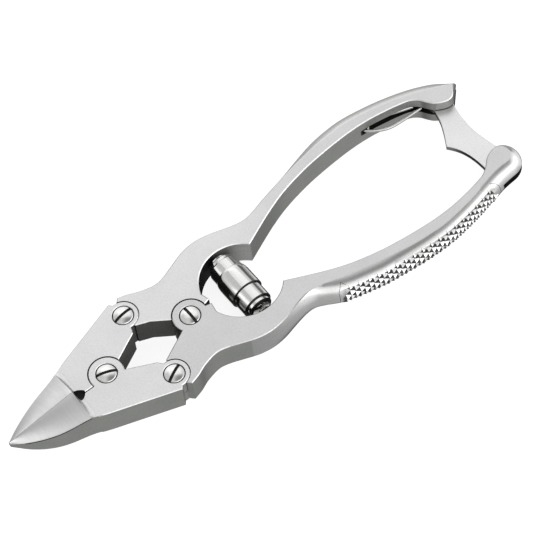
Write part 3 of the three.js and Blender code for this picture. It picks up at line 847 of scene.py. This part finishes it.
def makeScrewTree():
    tree, ids, given, out = newTree("slottedScrew", [
        ("Radius", "NodeSocketFloat", 2.6), ("Head Depth", "NodeSocketFloat", 1.7),
        ("Crown", "NodeSocketFloat", 0.5), ("Rim", "NodeSocketFloat", 0.16),
        ("Shank", "NodeSocketFloat", 1.6), ("Shank Length", "NodeSocketFloat", 6.3),
        ("Slot Width", "NodeSocketFloat", 0.7), ("Slot Depth", "NodeSocketFloat", 0.7),
        ("Slot Angle", "NodeSocketFloat", 0.0), ("Top", "NodeSocketVector", (0.0, 0.0, 4.2)),
        ("Material", "NodeSocketMaterial", None)])
    nodes, get = tree.nodes, given.outputs
    head = nodes.new("GeometryNodeMeshCylinder")
    head.fill_type = "NGON"
    head.inputs["Vertices"].default_value = 72
    head.inputs["Side Segments"].default_value = 3
    head.inputs["Fill Segments"].default_value = 14
    position = nodes.new("GeometryNodeInputPosition")
    split = nodes.new("ShaderNodeSeparateXYZ")
    build = nodes.new("ShaderNodeCombineXYZ")
    move = nodes.new("GeometryNodeSetPosition")
    across = nodes.new("ShaderNodeVectorMath")
    across.operation = "LENGTH"
    flat = nodes.new("ShaderNodeCombineXYZ")
    topFrom = mathNode(tree, "MULTIPLY", get["Head Depth"], 0.49)
    isTop = mathNode(tree, "GREATER_THAN", split.outputs[2], topFrom)
    ratio = mathNode(tree, "DIVIDE", across.outputs["Value"], get["Radius"])
    fall = mathNode(tree, "POWER", ratio, screwSettings["domePower"])
    dome = mathNode(tree, "MULTIPLY", get["Crown"], mathNode(tree, "SUBTRACT", 1.0, fall))
    onRim = mathNode(tree, "GREATER_THAN", ratio, screwSettings["rimFrom"])
    rimDrop = mathNode(tree, "MULTIPLY", get["Rim"], onRim)
    lift = mathNode(tree, "MULTIPLY", isTop, mathNode(tree, "SUBTRACT", dome, rimDrop))
    halfShank = mathNode(tree, "MULTIPLY", get["Shank Length"], -0.5)
    underHead = mathNode(tree, "SUBTRACT", get["Head Depth"], 0.05)
    placeHead = nodes.new("GeometryNodeTransform")
    headMiddle = nodes.new("ShaderNodeCombineXYZ")
    shank = nodes.new("GeometryNodeMeshCylinder")
    shank.inputs["Vertices"].default_value = 40
    placeShank = nodes.new("GeometryNodeTransform")
    shankMiddle = nodes.new("ShaderNodeCombineXYZ")
    groove = nodes.new("GeometryNodeMeshCube")
    grooveSize = nodes.new("ShaderNodeCombineXYZ")
    placeGroove = nodes.new("GeometryNodeTransform")
    grooveTurn = nodes.new("ShaderNodeCombineXYZ")
    grooveMiddle = nodes.new("ShaderNodeCombineXYZ")
    cut = nodes.new("GeometryNodeMeshBoolean")
    cut.operation = "DIFFERENCE"
    join = nodes.new("GeometryNodeJoinGeometry")
    whole = nodes.new("GeometryNodeTransform")
    realize = nodes.new("GeometryNodeRealizeInstances")
    paint = nodes.new("GeometryNodeSetMaterial")
    linkAll(tree, [
        (get["Radius"], head.inputs["Radius"]), (get["Head Depth"], head.inputs["Depth"]),
        (position.outputs[0], split.inputs[0]), (split.outputs[0], flat.inputs[0]),
        (split.outputs[1], flat.inputs[1]), (flat.outputs[0], across.inputs[0]),
        (lift, build.inputs[2]), (build.outputs[0], move.inputs["Offset"]),
        (head.outputs["Mesh"], move.inputs["Geometry"]), (move.outputs[0], placeHead.inputs["Geometry"]),
        (mathNode(tree, "MULTIPLY", get["Head Depth"], -0.5), headMiddle.inputs[2]),
        (headMiddle.outputs[0], placeHead.inputs["Translation"]),
        (get["Shank"], shank.inputs["Radius"]), (get["Shank Length"], shank.inputs["Depth"]),
        (mathNode(tree, "SUBTRACT", halfShank, underHead), shankMiddle.inputs[2]),
        (shank.outputs["Mesh"], placeShank.inputs["Geometry"]),
        (shankMiddle.outputs[0], placeShank.inputs["Translation"]),
        (mathNode(tree, "MULTIPLY", get["Radius"], 2.6), grooveSize.inputs[0]),
        (get["Slot Width"], grooveSize.inputs[1]),
        (mathNode(tree, "MULTIPLY", get["Slot Depth"], 2.0), grooveSize.inputs[2]),
        (grooveSize.outputs[0], groove.inputs["Size"]),
        (groove.outputs["Mesh"], placeGroove.inputs["Geometry"]),
        (get["Crown"], grooveMiddle.inputs[2]),
        (grooveMiddle.outputs[0], placeGroove.inputs["Translation"]),
        (get["Slot Angle"], grooveTurn.inputs[2]), (grooveTurn.outputs[0], placeGroove.inputs["Rotation"]),
        (placeHead.outputs[0], cut.inputs["Mesh 1"]), (placeGroove.outputs[0], cut.inputs["Mesh 2"]),
        (cut.outputs["Mesh"], join.inputs[0]), (placeShank.outputs[0], join.inputs[0]),
        (join.outputs[0], whole.inputs["Geometry"]), (get["Top"], whole.inputs["Translation"]),
        (whole.outputs[0], realize.inputs[0]), (realize.outputs[0], paint.inputs["Geometry"]),
        (get["Material"], paint.inputs["Material"]), (paint.outputs[0], out.inputs[0]),
    ])
    return tree, ids


screwTree, screwIds = makeScrewTree()
screwPlaces = [  # the node, its body, its centre and the turn of its slot
    ("jaw_pivot_screw", "upper_jaw", jawPivot, -0.35),
    ("handle_pivot_screw", "upper_handle", handlePivot, 1.57),
    ("upper_link_screw", "upper_handle", upperLink, 0.12),
    ("lower_link_screw", "lower_handle", lowerLink, 0.47),
]


def screwFinish(face, middle, centre):
    # painted shade on the walls and floor of the slot
    s = screwSettings
    away = math.hypot(middle.x - centre[0], middle.y - centre[1])
    if away >= s["radius"] - 0.02 or middle.z <= half - s["headDepth"] + 0.1:
        return "bright"
    dome = s["crown"] * (1 - (away / s["radius"]) ** s["domePower"]) - s["rim"]
    return "dark" if middle.z < half + dome - 0.1 else "bright"


for node, body, centre, angle in screwPlaces:
    host = newObject("host", bpy.data.meshes.new("host"))
    screw = evaluate(node.replace("_", "") + "Head", host, screwTree, screwIds, {
        "Radius": screwSettings["radius"], "Rim": screwSettings["rim"],
        "Head Depth": screwSettings["headDepth"], "Crown": screwSettings["crown"],
        "Shank": screwSettings["shank"], "Slot Width": screwSettings["slotWidth"],
        "Slot Depth": screwSettings["slotDepth"], "Slot Angle": angle,
        "Top": (centre[0], centre[1], half), "Material": polishedSteel})
    finish(shade(screw, 24), body, [node], {"bright": screwSteel, "dark": paintedShade},
           lambda face, middle: screwFinish(face, middle, centre))
print("screws made")


# Knurled bed on the outside of the lower grip

def knurlLine():
    # the crease by length along it, which is 0 where the bed starts, with its outward direction
    line = curveThrough(outerCrease + [(112, 16.35, 3.1), (115, 16.0, 3.05)], 0.25)
    table, length = [], 0.0
    for i in range(1, len(line) - 1):
        length += math.dist(line[i][:2], line[i - 1][:2])
        table.append((length, line[i], leftOf(line, i)))
    s = knurlSettings
    inside = [row for row in table if s["start"] <= row[1][0] <= s["end"]]
    return [(row[0] - inside[0][0],) + row[1:] for row in table], inside[-1][0] - inside[0][0]


knurlTable, knurlLength = knurlLine()


def knurlPoint(along, across, sink):
    # along the crease and round the bulge from its middle, both in millimetres
    rows = knurlTable
    along = min(max(along, rows[0][0]), rows[-1][0])
    i = max(1, next((k for k, row in enumerate(rows) if row[0] >= along), len(rows) - 1))
    t = (along - rows[i - 1][0]) / (rows[i][0] - rows[i - 1][0])
    x, y, bulge = (between(rows[i - 1][1][n], rows[i][1][n], t) for n in range(3))
    nx, ny = (between(rows[i - 1][2][n], rows[i][2][n], t) for n in range(2))
    bulge, rho = swellArc(half - 0.03, bulge)
    angle = across / rho
    out = (rho - sink) * math.cos(angle) - (rho - bulge)
    return (x + nx * out, y + ny * out, (rho - sink) * math.sin(angle))


def makeKnurlBed():
    # a closed bed of diamonds in offset rows; its border lies flush, so the grooves run out there
    s = knurlSettings
    lanes = s["lanes"]
    columns = round(knurlLength / s["pitch"]) * 2
    step = knurlLength / columns
    grid, points, faces, marks = {}, [], [], []

    def corner(i, j, under=False):
        if (i, j, under) not in grid:
            border = i in (0, columns) or abs(j) == lanes
            sink = -0.02 if border else s["floor"]
            if under:
                sink += s["depth"] + (0.5 if border else 0.0)
            grid[(i, j, under)] = len(points)
            points.extend(flip([knurlPoint(i * step, j * s["across"], sink)]))
        return grid[(i, j, under)]

    def addFace(ring, isDiamond):
        # the face on top and its twin on the underside
        faces.append([corner(i, j) for i, j in ring])
        marks.append(isDiamond)
        faces.append([corner(i, j, True) for i, j in ring][::-1])
        marks.append(False)

    def addWall(a, b):
        faces.append([corner(*a), corner(*b), corner(*b, True), corner(*a, True)])
        marks.append(False)

    for i in range(columns + 1):
        for j in range(-lanes, lanes + 1):
            if (i + j + lanes) % 2 == 0:
                continue
            ring = [(i - 1, j), (i, j - 1), (i + 1, j), (i, j + 1)]
            kept = [(a, b) for a, b in ring if 0 <= a <= columns and abs(b) <= lanes]
            addFace(kept, len(kept) == 4)
            if len(kept) == 3:
                if i == 0:
                    addWall((0, j + 1), (0, j - 1))
                elif i == columns:
                    addWall((columns, j - 1), (columns, j + 1))
                elif j < 0:
                    addWall((i - 1, j), (i + 1, j))
                else:
                    addWall((i + 1, j), (i - 1, j))
    bed = meshObject("bed", points, faces)
    mark = bed.data.attributes.new("diamond", "BOOLEAN", "FACE")
    mark.data.foreach_set("value", marks)
    return bed


def makeKnurlTree():
    # each marked face is raised and drawn in to a point
    tree, ids, given, out = newTree("knurlPoints", [
        ("Height", "NodeSocketFloat", 0.7), ("Tip", "NodeSocketFloat", 0.06),
        ("Material", "NodeSocketMaterial", None)])
    nodes, get = tree.nodes, given.outputs
    marked = nodes.new("GeometryNodeInputNamedAttribute")
    marked.data_type = "BOOLEAN"
    marked.inputs["Name"].default_value = "diamond"
    raised = nodes.new("GeometryNodeExtrudeMesh")
    raised.mode = "FACES"
    raised.inputs["Individual"].default_value = True
    drawn = nodes.new("GeometryNodeScaleElements")
    realize = nodes.new("GeometryNodeRealizeInstances")
    paint = nodes.new("GeometryNodeSetMaterial")
    linkAll(tree, [
        (get["Geometry"], raised.inputs["Mesh"]), (marked.outputs["Attribute"], raised.inputs["Selection"]),
        (get["Height"], raised.inputs["Offset Scale"]), (raised.outputs["Mesh"], drawn.inputs["Geometry"]),
        (raised.outputs["Top"], drawn.inputs["Selection"]), (get["Tip"], drawn.inputs["Scale"]),
        (drawn.outputs[0], realize.inputs[0]), (realize.outputs[0], paint.inputs["Geometry"]),
        (get["Material"], paint.inputs["Material"]), (paint.outputs[0], out.inputs[0]),
    ])
    return tree, ids


knurlTree, knurlIds = makeKnurlTree()
knurl = evaluate("lowerhandleKnurl", makeKnurlBed(), knurlTree, knurlIds, {
    "Height": knurlSettings["height"], "Tip": knurlSettings["tip"], "Material": knurlPaintedHighlight})


def knurlFinish(face, middle):
    # facets that look up get a painted highlight towards the thumb and painted shade towards the jaws
    s = knurlSettings
    nearest = min(knurlTable, key=lambda row: abs(row[1][0] - middle.x))
    nx, ny = nearest[2][0], -nearest[2][1]
    forward = face.normal.y * nx - face.normal.x * ny
    lean = math.atan2(middle.z, s["wallRadius"])  # the wall's own lean at this height
    outward = face.normal.x * nx + face.normal.y * ny
    up = face.normal.z * math.cos(lean) - outward * math.sin(lean)
    if up <= s["upFrom"]:
        return "border"
    if forward > s["brightFrom"]:
        return "bright"
    return "dark" if forward < s["darkFrom"] and len(face.vertices) == 4 else "border"


finish(shade(knurl, 8), "lower_handle", [],
       {"bright": knurlPaintedHighlight, "dark": knurlPaintedShade, "border": satinFlat}, knurlFinish)


def makeScribedLine(name, route):
    # a fine engraved line along (along, across) points on the grip, drawn as a thin near-flush strip of
    # painted shade
    s = knurlSettings
    width, count = s["line"] / 2, 8
    points, dense = [], []
    for (ax, ay), (bx, by) in zip(route, route[1:]):
        dense += [(ax + (bx - ax) * k / count, ay + (by - ay) * k / count) for k in range(count)]
    dense.append(route[-1])
    for i, (along, across) in enumerate(dense):
        sx, sy = (side * width for side in leftOf(dense, i))
        for way, sink in ((-1, s["lineHigh"]), (1, s["lineHigh"]), (1, s["lineDeep"]), (-1, s["lineDeep"])):
            points.extend(flip([knurlPoint(along + way * sx, across + way * sy, sink)]))
    last = len(points) - 4
    caps = [[0, 1, 2, 3], [last, last + 1, last + 2, last + 3]]
    return meshObject(name, points, ringWalls(len(dense), 4) + caps)


scribed = {
    "scribedStartV": [(-0.35, 2.4), (0.9, 5.2), (1.9, 4.1)],
    "scribedStartBar": [(-0.35, 2.4), (-0.4, -4.3)],
    "scribedEndV": [(knurlLength - 0.7, 4.6), (knurlLength + 0.5, 3.6), (knurlLength + 1.1, 2.2)],
    "scribedEndBar": [(knurlLength + 1.1, 2.2), (knurlLength + 1.0, -3.5)],
}
for name, route in scribed.items():
    line = shade(makeScribedLine(name, route), 20)
    finish(line, "lower_handle", [], {"dark": paintedShade})
print("knurl made")


# Spring barrel: three turned sleeves between two ball studs

barrelSettings = {
    "endCap": [(0, 8.0), (2.0, 8.0), (2.8, 9.3), (3.35, 9.3), (3.6, 9.05), (3.6, 8.35), (3.95, 8.15),
               (4.12, 7.8), (4.12, 4.7), (0, 4.7)],
    "outerSleeve": [(4.2, -2.2), (4.45, -2.2), (4.6, -2.05), (4.6, 3.3), (4.52, 4.1), (4.4, 4.6),
                    (4.24, 4.95), (4.14, 5.0), (4.14, 4.6), (4.2, 4.5)],
    "middleSleeve": [(3.58, -6.6), (3.95, -6.6), (4.1, -6.45), (4.1, 3.4), (3.58, 3.4)],
    "plunger": [(0, -8.05), (2.5, -8.05), (2.9, -7.8), (3.32, -7.75), (3.48, -7.58), (3.48, 3.2),
                (2.75, 3.2), (2.75, -6.3), (0, -6.3)],
    "stud": {"ball": 2.6, "shank": 1.5, "shoulder": 10.15, "end": 15.4, "steps": 14},
    "paintedShadeFrom": 2.55,  # painted shade on the sleeves' lower ends outside this radius
}
sleeves = [
    ("barrel_end_cap", "barrel_head", "endCap"), ("barrel_outer_sleeve", "barrel_head", "outerSleeve"),
    ("barrel_middle_sleeve", "barrel_middle", "middleSleeve"), ("barrel_plunger", "barrel_foot", "plunger"),
]


def sleeveFinish(face, middle):
    away = math.hypot(middle.x - barrelX, middle.z)
    # painted shade on the end faces that look towards the lower handle, away from the axis
    return "dark" if face.normal.y < -0.6 and away > barrelSettings["paintedShadeFrom"] else "bright"


for node, body, key in sleeves:
    sleeve = shade(turned(key + "Steel", barrelSettings[key], (barrelX, 0, 0), "y", 96), 20)
    finish(sleeve, body, [node], {"bright": polishedSteel, "dark": paintedShade},
           sleeveFinish)


def makeStud(name, side):
    s = barrelSettings["stud"]
    profile = []
    for k in range(s["steps"] + 1):
        a = math.acos((studY - s["shoulder"]) / s["ball"]) * k / s["steps"]
        profile.append((s["ball"] * math.sin(a), studY - s["ball"] * math.cos(a)))
    profile += [(profile[-1][0] - 0.1, s["shoulder"] + 0.3), (s["shank"], s["shoulder"] + 0.35),
                (s["shank"], s["end"]), (0, s["end"])]
    return turned(name, [(r, side * y) for r, y in profile], (barrelX, 0, 0), "y", 56)


for side, body in ((1, "upper_handle"), (-1, "lower_handle")):
    node = body.replace("handle", "ball_stud")
    stud = shade(makeStud(node.replace("_", "") + "Steel", side), 20)
    finish(stud, body, [node], {"bright": polishedSteel})
print("barrel made")


# Latch lever, its spring and the pins

latchSettings = {"thickness": 1.7, "heel": 3.0, "bore": 1.25, "edge": 0.14, "wire": 0.45}
latchOutline = [
    curveThrough([(112.9, 10.6), (111.8, 6.6), (110.0, 2.8), (108.1, -0.5)], 0.6),
    curveThrough([(108.1, -0.5), (109.4, -2.4), (110.3, -4.2), (111.0, -6.6), (111.4, -9.4), (111.5, -12.6),
                  (111.5, -13.9)], 0.6),
    [(111.5, -13.9), (113.6, -13.9), (113.6, -17.2)],
    curveThrough([(113.6, -17.2), (114.0, -17.9), (114.8, -17.9), (115.4, -17.2)], 0.3),
    curveThrough([(115.4, -17.2), (117.9, -10.0), (117.8, -8.0), (117.3, -5.2), (116.8, -1.7), (116.8, 2.4),
                  (117.3, 6.0), (118.2, 9.7), (118.2, 11.0)], 0.6),
]


def makeLatch():
    s = latchSettings
    reach = s["thickness"] / 2
    lever = prism("latchSteel", joinRuns(*latchOutline), -reach, reach, s["edge"], 2)
    return shade(carve(lever, [
        ("UNION", drum("heel", latchPivot, s["heel"], -reach, reach, s["edge"], s["edge"])),
        ("DIFFERENCE", drum("bore", latchPivot, s["bore"], -2, 2, sides=40))]))


def makeWire(name, route, radius, sides=14):
    line = curveThrough([(x, y) for x, y in route], 0.35)
    points = []
    for i, (x, y, _) in enumerate(line):
        nx, ny = leftOf(line, i)
        for k in range(sides):
            a = 2 * math.pi * k / sides
            out = radius * math.cos(a)
            points.append((x + nx * out, y + ny * out, radius * math.sin(a)))
    caps = [list(range(sides)), [(len(line) - 1) * sides + k for k in range(sides)]]
    return meshObject(name, points, ringWalls(len(line), sides) + caps)


finish(makeLatch(), "latch", ["latch_lever"], {"flat": satinPlate, "wall": satinWallShade},
       lambda face, middle: "flat" if abs(face.normal.z) > faceSettings["flatFrom"] else "wall")
springRoute = [(109.6, 15.3), (104, 17.2), (99.4, 18.9), (96.6, 19.15), (95.35, 17.9), (96.3, 16.6),
               (98.6, 15.0), (101.6, 13.9), (106.5, 13.6), (111.0, 13.6)]
wire = shade(makeWire("latchSpringWire", springRoute, latchSettings["wire"]), 40)
finish(wire, "upper_handle", ["latch_spring"], {"wire": springSteel})
for node, body in (("latch_pivot_pin", "upper_handle"), ("latch_spring_pin", "upper_handle"),
                   ("latch_catch_pin", "lower_handle")):
    pinLow, pinHigh = (toDrawing(corner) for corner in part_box(node))
    centre = ((pinLow.x + pinHigh.x) / 2, (pinLow.y + pinHigh.y) / 2)
    radius, edge = (pinHigh.x - pinLow.x) / 2, 0.1
    pin = drum(node.replace("_", "") + "Steel", centre, radius, pinLow.z, pinHigh.z, edge, edge, 48)
    finish(shade(pin, 20), body, [node], {"bright": polishedSteel})
coil = frame["nodes"]["barrel_spring"]
coil.data.materials.clear()
coil.data.materials.append(springSteel)
print("latch made")


# Studio

def makeLight(name, direction, distance, size, power, target):
    light = bpy.data.lights.new(name, "AREA")
    light.shape = "RECTANGLE"
    light.size, light.size_y = size
    light.energy = power
    lamp = bpy.data.objects.new(name, light)
    scene.collection.objects.link(lamp)
    toLamp = Vector(direction).normalized()
    lamp.location = target + toLamp * distance
    lamp.rotation_euler = toLamp.to_track_quat("Z", "Y").to_euler()
    return lamp


studioSettings = {
    "target": (0.004529, 0.000932, 0.005), "distance": 0.77405,
    "azimuth": 60.3, "elevation": 58.23, "roll": 8.976, "lens": 205.94,
    "sky": [(-1.0, 0.52), (-0.35, 0.58), (-0.12, 0.5), (0.1, 0.45), (0.4, 0.85), (1.0, 0.8)],
    "cards": [  # direction, where it starts and is full, as cosines, and its share of the sky
        ((-0.62, 0.42, -0.66), 0.78, 0.90, 0.02), ((0.42, 0.33, -0.85), 0.84, 0.95, 0.02),
        ((0.88, 0.457, 0.13), 0.955, 0.985, 0.2), ((-0.35, 0.46, 0.8), 0.85, 0.97, 0.8),
        ((0.95, -0.05, -0.08), 0.78, 0.93, 2.2), ((0.76, -0.5, 0.38), 0.85, 0.96, 2.0),
        ((0.25, -0.93, 0.2), 0.7, 0.95, 2.1), ((0.26, 0.9, 0.36), 0.82, 0.95, 1.5),
        ((0.24, -0.28, 0.93), 0.85, 0.97, 0.3),
    ],
    "panels": [  # name, direction, distance, size and power
        ("farPanel", (0.26, 0.46, 0.85), 0.6, (0.55, 0.4), 0.22),
        ("sidePanel", (-0.8, 0.2, 0.55), 0.7, (0.4, 0.4), 0.3),
        ("frontPanel", (-0.15, -0.75, 0.65), 0.7, (0.7, 0.6), 0.7),
    ],
    "floorReach": 4, "floorTone": 0.42, "floorGlow": 0.82,
}


def makeCamera():
    s = studioSettings
    az, el, roll = (math.radians(s[k]) for k in ("azimuth", "elevation", "roll"))
    forward = Vector((math.cos(az) * math.cos(el), math.sin(az) * math.cos(el), -math.sin(el)))
    level = forward.cross(Vector((0, 0, 1))).normalized()
    upright = level.cross(forward)
    up = upright * math.cos(roll) + level * math.sin(roll)
    right = forward.cross(up)
    data = bpy.data.cameras.new("camera")
    data.lens, data.sensor_width = s["lens"], 36
    data.clip_start, data.clip_end = 0.01, 20
    camera = bpy.data.objects.new("camera", data)
    scene.collection.objects.link(camera)
    turn = Matrix((right, up, -forward)).transposed().to_4x4()
    camera.matrix_world = Matrix.Translation(Vector(s["target"]) - forward * s["distance"]) @ turn
    scene.camera = camera


def makeFloor():
    s = studioSettings
    reach, tone = s["floorReach"], s["floorTone"]
    corners = [(-reach, -reach, 0), (reach, -reach, 0), (reach, reach, 0), (-reach, reach, 0)]
    floor = meshObject("floor", corners, [[0, 1, 2, 3]])
    paint = bpy.data.materials.new("paleFloor")
    paint.use_nodes = True
    shader = paint.node_tree.nodes["Principled BSDF"]
    shader.inputs["Base Color"].default_value = (tone, tone, tone, 1)
    shader.inputs["Emission Color"].default_value = (1, 1, 1, 1)
    shader.inputs["Emission Strength"].default_value = s["floorGlow"]
    shader.inputs["Roughness"].default_value = 0.9
    shader.inputs["Specular IOR Level"].default_value = 0.0
    floor.data.materials.append(paint)
    floor.visible_glossy = False


def makeSky():
    # a grey ramp from floor to ceiling, with dark and bright cards that shape the reflections
    s = studioSettings
    world = bpy.data.worlds.new("studio")
    world.use_nodes = True
    scene.world = world
    tree = world.node_tree
    back = tree.nodes["Background"]
    coords = tree.nodes.new("ShaderNodeTexCoord")
    split = tree.nodes.new("ShaderNodeSeparateXYZ")
    ramp = tree.nodes.new("ShaderNodeValToRGB")
    ramp.color_ramp.interpolation = "B_SPLINE"
    stops = ramp.color_ramp.elements
    for _ in range(len(s["sky"]) - 2):
        stops.new(0.5)
    for stop, (height, tone) in zip(stops, s["sky"]):
        stop.position = (height + 1) / 2
        stop.color = (tone, tone, tone, 1)
    tree.links.new(coords.outputs["Generated"], split.inputs[0])
    tree.links.new(remapNode(tree, split.outputs[2], 0, 1, -1, 1), ramp.inputs["Fac"])
    tree.links.new(ramp.outputs["Color"], back.inputs["Color"])
    strength = 1.0
    for direction, outer, inner, tone in s["cards"]:
        card = tree.nodes.new("ShaderNodeVectorMath")
        card.operation = "DOT_PRODUCT"
        card.inputs[1].default_value = Vector(direction).normalized()
        tree.links.new(coords.outputs["Generated"], card.inputs[0])
        shadow = remapNode(tree, card.outputs["Value"], 1.0, tone, outer, inner)
        strength = mathNode(tree, "MULTIPLY", strength, shadow)
    tree.links.new(strength, back.inputs["Strength"])


makeCamera()
makeFloor()
makeSky()
for name, direction, distance, size, power in studioSettings["panels"]:
    makeLight(name, direction, distance, size, power, Vector(studioSettings["target"]))
scene.view_settings.view_transform = "Standard"
print("studio made")
